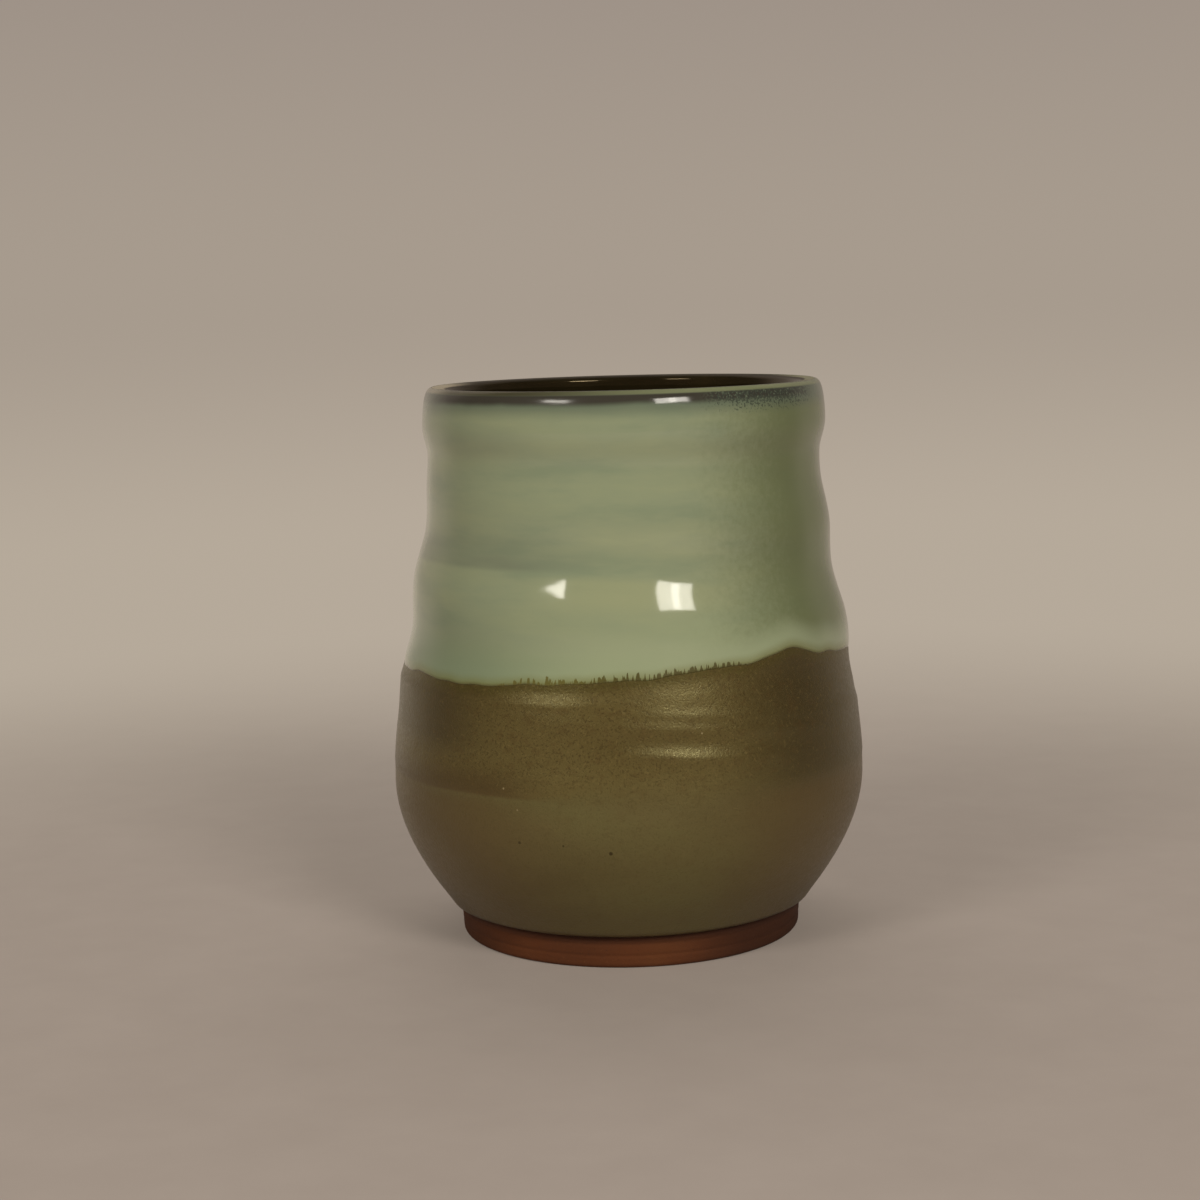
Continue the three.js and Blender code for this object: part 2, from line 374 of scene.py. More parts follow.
def foot_side(height):
    """Outside radius of the foot, with two fine tool lines."""
    aways = [(height - level) / TOOL_LINE_WIDTH for level in TOOL_LINES]
    lines = sum(TOOL_LINE_DEPTH * math.exp(-(away ** 2)) for away in aways)
    return FOOT_BASE + (FOOT_OUT - FOOT_BASE) * (height - FOOT_ROUND) / (FOOT_TOP - FOOT_ROUND) - lines


inner_centre = Vector((FOOT_BORE + FOOT_ROUND, FOOT_ROUND))
outer_centre = Vector((FOOT_BASE - FOOT_ROUND, FOOT_ROUND))
foot_profile = [
    Vector((FOOT_BORE, FOOT_TOP)),
    *arc(inner_centre, FOOT_ROUND, FOOT_ROUND, math.pi, 1.5 * math.pi, FOOT_ARC_POINTS),
    *arc(outer_centre, FOOT_ROUND, FOOT_ROUND, 1.5 * math.pi, 2 * math.pi, FOOT_ARC_POINTS),
    *wall_rows(foot_side, FOOT_ROUND, FOOT_TOP, FOOT_ROW)[1:],
    Vector((FOOT_BORE, FOOT_TOP)),
]
foot_ring = turned("foot_ring_piece", foot_profile, wedge_steps=30)

# %% [markdown]
# ## The three coats of glaze
# A coat of glaze is a thin shell with a rolled edge, because molten glass draws itself into a bead where it
# stops. A Solidify modifier would give it one even depth, so each coat is spun from two offsets of the skin
# instead: its outer face one way and its back the other. The olive coat thins out under the green one, and
# the green one laps over it with a small bead.

# %% Depths of the coats
COAT = 0.6  # outer face of a coat over the clay
BACK = 0.12  # back of a coat over the clay
EDGE_RISE = 0.7  # height over which the olive coat's lower edge grows to full depth
ROLL_DEPTH = 0.10  # of the roll above that edge
ROLL_AT = 0.9
ROLL_WIDTH = 0.8
LAP_THINNING = 0.3  # what the olive coat loses under the green one
LAP_GAP = 0.02  # between the two where they lap
GREEN_EXTRA = 0.03  # the green coat is this much deeper
BEAD_DEPTH = 0.07  # of the bead at its lower edge
BEAD_RISE = 1.2
BEAD_END = 6


def olive_depth(height):
    """Full depth up to the line with a roll at the crease, then thinning under the green coat."""
    up = height - CREASE.y
    roll = ROLL_DEPTH * math.exp(-(((up - ROLL_AT) / ROLL_WIDTH) ** 2))
    start = BACK + (COAT - BACK) * math.sqrt(min(up / EDGE_RISE, 1.0))
    thinning = LAP_THINNING * float(ramp_up(height, LINE, LINE + LAP))
    return start + roll - thinning


def green_depth(height):
    """A soft bead at the lower edge, then an even coat."""
    up = max(height - LINE, 0.0)
    bead = BEAD_DEPTH * math.sqrt(min(up / BEAD_RISE, 1.0)) * (1 - float(ramp_up(up, BEAD_RISE, BEAD_END)))
    return COAT + (GREEN_EXTRA + bead)


def green_back(height):
    """The clay, or the olive coat where the green one laps over it."""
    return olive_depth(height) + LAP_GAP if height < LINE + LAP else BACK


# %% Olive, green and liner coats
def coat(name, names, outer, back, wedge_steps):
    """A shell between two depths over the skin."""
    front_points = offset_points(names, outer)
    back_points = offset_points(names, back)[::-1]
    return throw(turned(name, [*front_points, *back_points, front_points[0]], wedge_steps))


olive = coat("olive_coat", ("olive", "lap"), olive_depth, lambda height: BACK, wedge_steps=40)
green = coat("green_coat", ("lap", "green", "lip"), green_depth, green_back, wedge_steps=60)
liner = coat("liner_coat", ("liner",), lambda height: COAT, lambda height: BACK, wedge_steps=30)

# %% [markdown]
# ## Node helpers
# Finishes are built from nodes. They could be laid out by hand in the editor, but helpers that make a node,
# set or link its sockets and return what it gives let each finish below read like a recipe. All patterns
# read Object coordinates or the height above the line, which stay with the cup.

# %% Helpers for nodes
def tint(red, green_part, blue):
    """A colour as it looks on screen, 0 to 255, as the linear values that a shader takes."""
    parts = [value / 255 for value in (red, green_part, blue)]
    linear = [part / 12.92 if part <= 0.04045 else ((part + 0.055) / 1.055) ** 2.4 for part in parts]
    return (*linear, 1.0)


def fill(tree, socket, value):
    """Links a socket to an output, or sets its constant."""
    if isinstance(value, bpy.types.NodeSocket):
        tree.links.new(value, socket)
    else:
        socket.default_value = value


def node(tree, kind, inputs=(), **settings):
    """A shader node with its settings made and its inputs set or linked."""
    made = tree.nodes.new("ShaderNode" + kind)
    for name, value in settings.items():
        setattr(made, name, value)
    for key, value in dict(inputs).items():
        fill(tree, made.inputs[key], value)
    return made


def new_finish(name, **values):
    """A material with a Principled shader whose constant sockets are set directly."""
    material = bpy.data.materials.new(name)
    material.use_nodes = True
    tree = material.node_tree
    shader = tree.nodes["Principled BSDF"]
    for key, value in values.items():
        shader.inputs[key.replace("_", " ")].default_value = value
    return material, tree, shader


def dress(piece, material):
    """Gives a piece its finish."""
    piece.data.materials.append(material)
    print(piece.name, "has", material.name, "with", len(material.node_tree.nodes), "nodes")


# %% Helpers for sums and mixes
def calc(tree, operation, *values):
    """A Math node's result."""
    return node(tree, "Math", dict(enumerate(values)), operation=operation).outputs["Value"]


def product(tree, first, *others):
    """All values multiplied."""
    for value in others:
        first = calc(tree, "MULTIPLY", first, value)
    return first


def window(tree, value, start, end):
    """0 to 1 as the value goes from start to end, smooth and clamped."""
    limits = {"Value": value, "From Min": start, "From Max": end}
    return node(tree, "MapRange", limits, interpolation_type="SMOOTHSTEP").outputs["Result"]


def band(tree, value, rise, fall):
    """Two windows multiplied: one in which the mark sets in, and one in which it dies out."""
    return product(tree, window(tree, value, *rise), window(tree, value, *fall))


def span(tree, value, low, high):
    """A share of 0 to 1 spread over another range."""
    return node(tree, "MapRange", {"Value": value, "To Min": low, "To Max": high}).outputs["Result"]


def blend(tree, share, first, second):
    """Colour mix of first and second."""
    made = node(tree, "Mix", data_type="RGBA")
    for index, value in ((0, share), (6, first), (7, second)):
        fill(tree, made.inputs[index], value)
    return made.outputs[2]


def ramp(tree, share, stops):
    """A colour ramp from a list of position and colour."""
    made = node(tree, "ValToRGB", {"Fac": share})
    elements = made.color_ramp.elements
    while len(elements) < len(stops):
        elements.new(0.5)
    for element, (position, colour) in zip(elements, stops):
        element.position = position
        element.color = colour
    return made.outputs["Color"]


# %% Helpers for patterns
def noise(tree, per_metre, detail=2.0, roughness=0.5):
    """Noise whose features are sized by three counts per metre along X, Y and Z."""
    place = node(tree, "TexCoord").outputs["Object"]
    scaled = node(tree, "Mapping", {"Vector": place, "Scale": per_metre}).outputs["Vector"]
    values = {"Vector": scaled, "Scale": 1.0, "Detail": detail, "Roughness": roughness}
    return node(tree, "TexNoise", values).outputs["Fac"]


def bump(tree, height, depth, before=None):
    """A bump of real depth in millimetres, over an earlier bump if one is given."""
    inputs = {"Height": height, "Distance": depth * MM, "Strength": 1.0}
    if before is not None:
        inputs["Normal"] = before
    return node(tree, "Bump", inputs).outputs["Normal"]


def bearing_and_height(tree):
    """Degrees round the cup, 0 in front and positive to its right, and millimetres above the table."""
    place = node(tree, "TexCoord").outputs["Object"]
    axes = node(tree, "SeparateXYZ", {"Vector": place}).outputs
    turn = calc(tree, "ARCTAN2", axes["X"], calc(tree, "MULTIPLY", axes["Y"], -1.0))
    return calc(tree, "MULTIPLY", turn, math.degrees(1)), calc(tree, "MULTIPLY", axes["Z"], 1 / MM)


def sideways(tree, bearing):
    """The bearing folded at both sides: it runs back to 0 behind the cup, so that masks have no seam."""
    swung = calc(tree, "PINGPONG", calc(tree, "ADD", bearing, 90.0), 180.0)
    return calc(tree, "SUBTRACT", swung, 90.0)


def above_line(tree):
    """Millimetres above the glaze line, as the piece's attribute gives them."""
    return node(tree, "Attribute", attribute_name="above_line").outputs["Fac"]


# %% [markdown]
# ## Green glaze
# A glossy grey-green glass over iron-bearing clay, with level streaks.
# Molten glaze pools blue-grey in the groove of the thrower's spiral and under the neck, most of all on the
# left, and runs thick and pale above the line. It thins to a dark band on the lip, which breaks into specks
# on the right, and there is a darker, olive side. A painted picture could give all this, but masks made of
# height and bearing stay sharp at any distance. The colours are mixed in the order given here.

# %% Colours and levels of the green glaze
GREEN_STREAKS = [
    (0.32, tint(131, 142, 116)), (0.46, tint(139, 148, 120)),
    (0.60, tint(143, 151, 121)), (0.74, tint(148, 155, 123)),
]
POOLED = tint(113, 120, 102)
BRIGHT = tint(153, 158, 123)
THICK_LEFT, THICK_RIGHT = tint(127, 141, 113), tint(152, 163, 130)
OLIVE_SIDE = tint(100, 108, 72)
SINK = 2.4  # how far the level marks sink towards the right
WANDER = 2.0  # how far they wander up and down
# Heights over which a level mark sets in, and over which it dies out
GROOVE = (70.4, 71.6), (78.5, 72.0)
UNDER_NECK = (89.0, 92.5), (96.5, 93.0)
BRIGHT_BAND = (62.5, 67.0), (71.0, 69.0)
THICK_EDGE = (14.0, 2.0)  # above the line
RAGGED_SIDE = 16.0  # degrees by which grain roughens the edge of the olive side


# %% Green body colour
def green_body(tree, bearing, height, above):
    """Level streaks, the pooled glaze, the bright band, the pale thick edge and the olive side."""
    colour = ramp(tree, noise(tree, (36, 36, 170), 4.0, 0.6), GREEN_STREAKS)
    sunk = calc(tree, "MULTIPLY_ADD", window(tree, bearing, -20, 45), SINK, height)
    level = calc(tree, "MULTIPLY_ADD", noise(tree, (24, 24, 60), 2.0), WANDER, sunk)
    groove = band(tree, level, *GROOVE)
    neck_shade = product(tree, band(tree, level, *UNDER_NECK), window(tree, bearing, -14, -40), 0.5)
    leftward = span(tree, window(tree, bearing, 0, -36), 0.0, 0.7)
    patchy = span(tree, window(tree, noise(tree, (45, 45, 200), 2.0, 0.6), 0.35, 0.65), 0.55, 1.0)
    pooled = product(tree, calc(tree, "MAXIMUM", groove, neck_shade), leftward, patchy)
    colour = blend(tree, pooled, colour, POOLED)
    bright = product(tree, band(tree, level, *BRIGHT_BAND), window(tree, bearing, 45, 15))
    bright = product(tree, bright, span(tree, window(tree, bearing, -40, -5), 0.0, 0.7))
    colour = blend(tree, bright, colour, BRIGHT)

    thick_share = span(tree, window(tree, bearing, 62, 34), 0.45, 0.9)
    thick = product(tree, window(tree, above, *THICK_EDGE), thick_share)
    thick_tone = blend(tree, window(tree, bearing, -45, -2), THICK_LEFT, THICK_RIGHT)
    colour = blend(tree, thick, colour, thick_tone)

    grain = noise(tree, (900, 900, 900), 2.0, 0.7)
    edge_bearing = calc(tree, "MULTIPLY_ADD", grain, RAGGED_SIDE, bearing)
    side = product(tree, window(tree, edge_bearing, 24, 60), window(tree, above, 2, 6.5), 0.8)
    return blend(tree, side, colour, OLIVE_SIDE)


# %% Green lip
LIP_BLUISH = tint(90, 102, 88)
LIP_DARK = tint(58, 54, 48)
LIP_SPECKS = tint(56, 62, 55)
# CREST_PALE, at the far left, is partly the glaze's tone and partly a painted reflection of the paper
CREST_LEFT, CREST_RIGHT, CREST_PALE = tint(66, 62, 42), tint(122, 127, 95), tint(140, 132, 110)
RAGGED = 0.9  # how far noise moves the edge of the dark band
BLUISH_HEIGHT = (95.2, 98.4)
STRIP_HEIGHT = (97.7, 98.8)
STRIP_END = (99.6, 99.15)
SPECK_HEIGHT = (94.4, 99.4)
CREST_HEIGHT = (99.15, 99.5)


def green_lip(tree, colour, bearing, height):
    """The dark band on the lip, its specks on the right, and the light crest."""
    ragged = calc(tree, "MULTIPLY_ADD", noise(tree, (60, 60, 60), 3.0, 0.6), RAGGED, height)
    colour = blend(tree, product(tree, window(tree, ragged, *BLUISH_HEIGHT), 0.8), colour, LIP_BLUISH)
    dark_crest = product(tree, window(tree, bearing, 0, -30), 0.55)
    below_crest = calc(tree, "MAXIMUM", window(tree, height, *STRIP_END), dark_crest)
    unbroken = window(tree, bearing, 36, 20)
    clots = window(tree, noise(tree, (2300, 2300, 2300), 2.0, 0.6), 0.37, 0.52)
    broken = calc(tree, "MAXIMUM", unbroken, clots)
    # At the far left the crest turns pale and the dark strip weakens: partly the glaze, partly a painted
    # reflection
    pale_end = window(tree, bearing, -56, -72)
    dark_side = product(tree, window(tree, bearing, 71, 55), span(tree, pale_end, 1.0, 0.45))
    strip = product(tree, window(tree, ragged, *STRIP_HEIGHT), below_crest, broken, dark_side, 0.95)
    colour = blend(tree, strip, colour, LIP_DARK)

    specks = noise(tree, (2700, 2700, 2700), 2.0, 0.6)
    density = product(tree, window(tree, bearing, 16, 36), dark_side, window(tree, height, *SPECK_HEIGHT))
    speckled = window(tree, calc(tree, "MULTIPLY_ADD", density, 0.24, specks), 0.62, 0.72)
    speckled = product(tree, speckled, window(tree, density, 0.02, 0.3), 0.75)
    colour = blend(tree, speckled, colour, LIP_SPECKS)
    crest_tone = blend(tree, window(tree, bearing, -32, 24), CREST_LEFT, CREST_RIGHT)
    crest_tone = blend(tree, pale_end, crest_tone, CREST_PALE)
    return blend(tree, product(tree, window(tree, height, *CREST_HEIGHT), 0.9), colour, crest_tone)


# %% Green lower edge
EDGE_THIN, EDGE_DARK = tint(118, 119, 66), tint(84, 78, 34)
HAIR_LEFT, HAIR_RIGHT = tint(98, 92, 44), tint(74, 68, 28)
HAIR_BEARINGS = (-38, -20), (34, 22)
HAIR_HEIGHT = 1.45  # of the tallest hairs, in millimetres


def green_edge(tree, colour, bearing, above):
    """The thin, dark lower edge and the fine hairs where olive glaze rises into the green."""
    colour = blend(tree, product(tree, window(tree, above, 2.2, 0.2), 0.65), colour, EDGE_THIN)
    colour = blend(tree, product(tree, window(tree, above, 0.8, -0.1), 0.9), colour, EDGE_DARK)
    hairs = window(tree, noise(tree, (1700, 1700, 60), 2.0, 0.65), 0.36, 0.66)
    tufts = span(tree, noise(tree, (420, 420, 30), 1.0), 0.5, 1.5)
    hair_field = span(tree, band(tree, bearing, *HAIR_BEARINGS), 0.1, 1.0)
    hair_height = product(tree, hairs, tufts, hair_field, HAIR_HEIGHT)
    hair = window(tree, calc(tree, "SUBTRACT", hair_height, above), -0.05, 0.2)
    hair_tone = blend(tree, window(tree, bearing, -16, 2), HAIR_LEFT, HAIR_RIGHT)
    return blend(tree, product(tree, hair, 0.9), colour, hair_tone)


# %% Green finish
def green_finish():
    """Glossy and softly rippled, a little drier on the lip."""
    material, tree, shader = new_finish("green_glaze", IOR=1.5)
    bearing, height = bearing_and_height(tree)
    bearing = sideways(tree, bearing)
    above = above_line(tree)
    colour = green_body(tree, bearing, height, above)
    colour = green_lip(tree, colour, bearing, height)
    fill(tree, shader.inputs["Base Color"], green_edge(tree, colour, bearing, above))
    polish = span(tree, noise(tree, (120, 120, 200)), 0.04, 0.11)
    dryness = span(tree, window(tree, bearing, 5, -12), 0.02, 0.09)
    dry_lip = product(tree, window(tree, height, 96.5, 98), dryness)
    fill(tree, shader.inputs["Roughness"], calc(tree, "ADD", polish, dry_lip))
    fill(tree, shader.inputs["Normal"], bump(tree, noise(tree, (70, 70, 180), 2.0), 0.05))
    return material


dress(green, green_finish())

# %% [markdown]
# ## Olive glaze
# A satin glaze of olive-brown, mottled and finely speckled. It is browner on the ribbed shoulder and greener
# on the smooth turned belly below the tool's edge, darker under the green coat, with a few small pits and
# pale chips. Both sides are darker, partly in the glaze's tone and partly as painted shade where they turn
# from the lamps, and the belly is painted darker towards the foot, as shade under it. One noise could give
# an even speckle, but the shoulder is rougher than the belly, so the specks are weighed by height.

# %% Colours and levels of the olive glaze
SHOULDER = [(0.3, tint(77, 65, 35)), (0.5, tint(87, 75, 42)), (0.7, tint(93, 82, 48))]
SMOOTH_BELLY = [(0.3, tint(82, 72, 44)), (0.5, tint(91, 82, 51)), (0.7, tint(92, 87, 53))]
TOOL_SHADE = tint(68, 52, 29)
# Both sides are darker, partly in the glaze's tone and partly as painted shade where they turn from the
# lamps
SIDE_TONE_AND_SHADE = tint(58, 48, 27)
LOW_SIDE_TONE_AND_SHADE = tint(82, 65, 40)
LOW_SHADE = tint(68, 57, 35)
UNDER_GREEN = tint(68, 60, 25)
EDGE_WANDER = 1.6  # how far the tool's edge wanders up and down
TOOL_BAND = (32.3, 33.0), (39.5, 33.5)  # heights of the dark band above the tool's edge


# %% Olive body colour
def olive_body(tree, bearing, height, above):
    """Shoulder and belly, the dark band above the tool's edge, sides partly in painted shade, and dark ends.
    """
    clouds = noise(tree, (26, 26, 60), 3.0, 0.55)
    shoulder = ramp(tree, clouds, SHOULDER)
    belly = ramp(tree, clouds, SMOOTH_BELLY)
    tool_edge = calc(tree, "MULTIPLY_ADD", noise(tree, (18, 18, 30), 1.0), EDGE_WANDER, height)
    rightward = window(tree, bearing, -24, 2)  # the tool's edge is sharp on the left and soft on the right
    soft_start = span(tree, rightward, 32.3, 30.5)
    soft_end = span(tree, rightward, 33.2, 38.0)
    colour = blend(tree, window(tree, tool_edge, soft_start, soft_end), belly, shoulder)
    shaded = product(tree, band(tree, tool_edge, *TOOL_BAND), window(tree, bearing, -15, -35), 0.85)
    colour = blend(tree, shaded, colour, TOOL_SHADE)
    # Sides darker above the tool's edge: partly the glaze's tone, partly painted shade
    right_side = product(tree, window(tree, bearing, 15, 47), window(tree, height, 25, 36))
    left_side = product(tree, window(tree, bearing, -28, -54), window(tree, height, 36, 42))
    sides = calc(tree, "MAXIMUM", right_side, left_side)
    colour = blend(tree, product(tree, sides, 0.9), colour, SIDE_TONE_AND_SHADE)
    # Sides darker low down: partly the glaze's tone, partly painted shade
    low_sides = calc(tree, "MAXIMUM", window(tree, bearing, 14, 46), window(tree, bearing, -8, -40))
    low_sides = product(tree, low_sides, window(tree, height, 34, 30), 0.75)
    colour = blend(tree, low_sides, colour, LOW_SIDE_TONE_AND_SHADE)
    colour = blend(tree, product(tree, window(tree, height, 20, 8), 0.25), colour, LOW_SHADE)
    return blend(tree, product(tree, window(tree, above, -2.2, -0.3), 0.75), colour, UNDER_GREEN)


# %% Small marks on the olive glaze
ARC = math.radians(BELLY.x)  # millimetres along the belly in one degree
DOT_CORE = 0.4  # share of a mark's reach that it fills evenly
LIGHT_SPECKS, DARK_SPECKS, MOTTLES = tint(116, 99, 58), tint(62, 50, 26), tint(73, 55, 29)
PIT_TONE, CHIP_TONE = tint(44, 33, 17), tint(130, 116, 84)
# Bearing, height and reach
PITS = [(-26, 24.5, 0.35), (-15.2, 24.4, 0.25), (-4.3, 23.2, 0.45), (71, 28.0, 0.4), (160, 25.0, 0.4)]
CHIPS = [(-29.5, 33.7, 0.25), (-26, 30.2, 0.2), (17.4, 42.9, 0.25), (-150, 38.0, 0.25)]


def dot(tree, bearing, height, at, level, reach):
    """A small round mark on the belly."""
    across = calc(tree, "MULTIPLY", calc(tree, "SUBTRACT", bearing, at), ARC)
    up = calc(tree, "SUBTRACT", height, level)
    away = calc(tree, "SQRT", calc(tree, "ADD", product(tree, across, across), product(tree, up, up)))
    return window(tree, away, reach, reach * DOT_CORE)


# %% Olive finish
def olive_finish():
    """Satin, with specks in colour and gloss, and a fine grain over soft ripples."""
    material, tree, shader = new_finish("olive_glaze", IOR=1.7, Specular_Tint=tint(252, 243, 180))
    bearing, height = bearing_and_height(tree)
    above = above_line(tree)
    colour = olive_body(tree, sideways(tree, bearing), height, above)
    rough_skin = span(tree, window(tree, height, 30, 38), 0.35, 1.0)
    speck = noise(tree, (1500, 1500, 1500), 2.0, 0.6)
    light = product(tree, window(tree, speck, 0.56, 0.72), rough_skin, 0.3)
    colour = blend(tree, light, colour, LIGHT_SPECKS)
    mottle = window(tree, noise(tree, (520, 520, 700), 3.0, 0.6), 0.5, 0.68)
    colour = blend(tree, product(tree, mottle, rough_skin, 0.38), colour, MOTTLES)
    grain = noise(tree, (2600, 2600, 2600), 2.0, 0.6)
    dark = product(tree, window(tree, grain, 0.48, 0.34), rough_skin, 0.75)
    colour = blend(tree, dark, colour, DARK_SPECKS)
    for places, tone in ((PITS, PIT_TONE), (CHIPS, CHIP_TONE)):
        for place in places:
            colour = blend(tree, dot(tree, bearing, height, *place), colour, tone)
    fill(tree, shader.inputs["Base Color"], colour)
    fill(tree, shader.inputs["Roughness"], span(tree, speck, 0.2, 0.52))
    ripples = bump(tree, noise(tree, (90, 90, 240), 2.0), 0.12)
    fill(tree, shader.inputs["Normal"], bump(tree, grain, 0.05, ripples))
    return material


dress(olive, olive_finish())

# %% [markdown]
# ## Liner glaze
# Inside, an iron glaze fired almost black-brown and mirror smooth, with warmer clouds. On the drinking edge
# it is drier, and at both sides of the mouth it turns pale: partly the pale tone of the lip, and partly a
# painted reflection of the paper. A plain dark shader would do for the depth of the cup, but the edge is
# what the eye meets first.

# %% Liner finish
LINER_CLOUDS = [(0.3, tint(26, 21, 11)), (0.6, tint(36, 30, 16)), (0.8, tint(50, 40, 20))]
# Pale edge at both sides of the mouth: partly the lip's tone, partly a painted reflection of the paper
EDGE_RIGHT, EDGE_LEFT = tint(134, 132, 106), tint(166, 155, 134)
PALE_SIDES = (55, 80), (125, 100)  # degrees from the front, to the left and to the right


def liner_finish():
    """Dark and glossy, with a drier edge that is pale at both sides, partly as a painted reflection of the
    paper.
    """
    material, tree, shader = new_finish("liner_glaze", IOR=1.5, Specular_Tint=tint(255, 230, 185))
    clouds = noise(tree, (40, 40, 90), 3.0, 0.6)
    colour = ramp(tree, clouds, LINER_CLOUDS)
    bearing, height = bearing_and_height(tree)
    # Painted reflection, in part: the pale edge at both sides of the mouth
    beside = band(tree, calc(tree, "ABSOLUTE", bearing), *PALE_SIDES)
    leftward = window(tree, bearing, 20, -20)
    pale_start = span(tree, leftward, 99.8, 99.55)
    pale_end = span(tree, leftward, 99.9, 99.75)
    pale_and_reflection = product(tree, beside, window(tree, height, pale_start, pale_end))
    colour = blend(tree, pale_and_reflection, colour, blend(tree, leftward, EDGE_RIGHT, EDGE_LEFT))
    fill(tree, shader.inputs["Base Color"], colour)
    dry_edge = product(tree, window(tree, height, 99.3, 99.8), 0.3)
    fill(tree, shader.inputs["Roughness"], calc(tree, "ADD", span(tree, clouds, 0.05, 0.16), dry_edge))
    fill(tree, shader.inputs["Normal"], bump(tree, noise(tree, (80, 80, 160), 2.0), 0.1))
    return material


dress(liner, liner_finish())

# %% [markdown]
# ## Bare clay
# Unglazed stoneware is matt and gritty. Fine sand shows as paler and darker grains, and the fire flashes the
# clay from orange-red to brown. Both sides are painted darker, as shade where they turn from the lamps, and
# the crease under the belly is painted darkest, as shade. One grain noise gives the colour, the gloss and
# the bump, so that they agree.

# %% Clay finish
CLAY_FLASH = [(0.3, tint(79, 43, 21)), (0.55, tint(90, 49, 24)), (0.75, tint(97, 57, 29))]
PALE_SAND, DARK_SAND = tint(108, 71, 44), tint(50, 28, 18)
# Painted shade: darkest in the crease under the belly, and darker at both sides where they turn from the
# lamps
CREASE_SHADE, SIDE_SHADE_TONE = tint(48, 28, 18), tint(58, 31, 17)


def clay_finish():
    """Matt and gritty, flashed by the fire, with painted shade at the sides and in the crease."""
    material, tree, shader = new_finish("bare_clay", IOR=1.45)
    colour = ramp(tree, noise(tree, (30, 30, 60), 3.0, 0.6), CLAY_FLASH)
    grain = noise(tree, (2200, 2200, 2200), 2.0, 0.7)
    colour = blend(tree, product(tree, window(tree, grain, 0.6, 0.75), 0.4), colour, PALE_SAND)
    colour = blend(tree, product(tree, window(tree, grain, 0.4, 0.25), 0.5), colour, DARK_SAND)
    bearing, height = bearing_and_height(tree)
    bearing = sideways(tree, bearing)
    # Painted shade in the crease under the belly
    colour = blend(tree, product(tree, window(tree, height, 3.6, 5.8), 0.7), colour, CREASE_SHADE)
    # Painted shade at both sides of the foot, where they turn from the lamps
    left_side_shade = product(tree, window(tree, bearing, -35, -75), 0.6)
    side_shade = calc(tree, "MAXIMUM", window(tree, bearing, 10, 42), left_side_shade)
    colour = blend(tree, product(tree, side_shade, 0.85), colour, SIDE_SHADE_TONE)
    fill(tree, shader.inputs["Base Color"], colour)
    fill(tree, shader.inputs["Roughness"], span(tree, grain, 0.75, 0.95))
    fill(tree, shader.inputs["Normal"], bump(tree, grain, 0.06))
    return material


bare_clay = clay_finish()
dress(clay_body, bare_clay)
dress(foot_ring, bare_clay)

# %% [markdown]
# ## Riding on the frame
# Each piece stands for one CAD solid. Nothing on a cup moves, so they all ride on the one body.

# %% Tie the pieces to the frame
pieces = {
    "clay_body": (clay_body, "bare_clay"),
    "foot_ring": (foot_ring, "bare_clay"),
    "olive_glaze": (olive, "olive_glaze"),
    "green_glaze": (green, "green_glaze"),
    "liner_glaze": (liner, "liner_glaze"),
}
for solid, (piece, slot) in pieces.items():
    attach(piece, "root")
    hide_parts(solid)
print("pieces on the frame:", len(pieces))

# %% [markdown]
# ## Studio
# A paper sweep is a floor that curves up into a wall, so no horizon shows. A plane with a bend would do for
# one view, but spun round the cup it has no end on any side. The far paper isn't lit: it glows with a
# painted light of its own, brighter towards the back and dimmer higher up, which the camera sees. Shiny
# glaze sees that glow only beside and behind the cup, because the front of the room is dark. The floor near
# the cup is lit and keeps its shadow.

# %% Paper sweep
SWEEP_FLAT = 700.0
SWEEP_ROUND = 700.0
SWEEP_TOP = 1600.0
SWEEP_POINTS = 24
sweep_centre = Vector((SWEEP_FLAT, SWEEP_ROUND))
sweep_profile = [
    Vector((0, 0)),
    *arc(sweep_centre, SWEEP_ROUND, SWEEP_ROUND, 1.5 * math.pi, 2 * math.pi, SWEEP_POINTS),
    Vector((SWEEP_FLAT + SWEEP_ROUND, SWEEP_TOP)),
]
sweep = turned("paper_sweep", sweep_profile, wedge_steps=12)

# %% Paper finish
PAPER = [(0.3, tint(173, 161, 156)), (0.7, tint(178, 166, 161))]
FRONT_TONE, BACK_TONE = tint(150, 137, 122), tint(187, 175, 159)
WALL_TONE, HIGH_TONE = tint(167, 155, 142), tint(156, 144, 134)
FAR = (0.08, 0.4)  # metres from the cup over which the paper's own tone takes over
SIDE_GLOW = 1.6  # how much brighter the paper beside the cup is in reflections


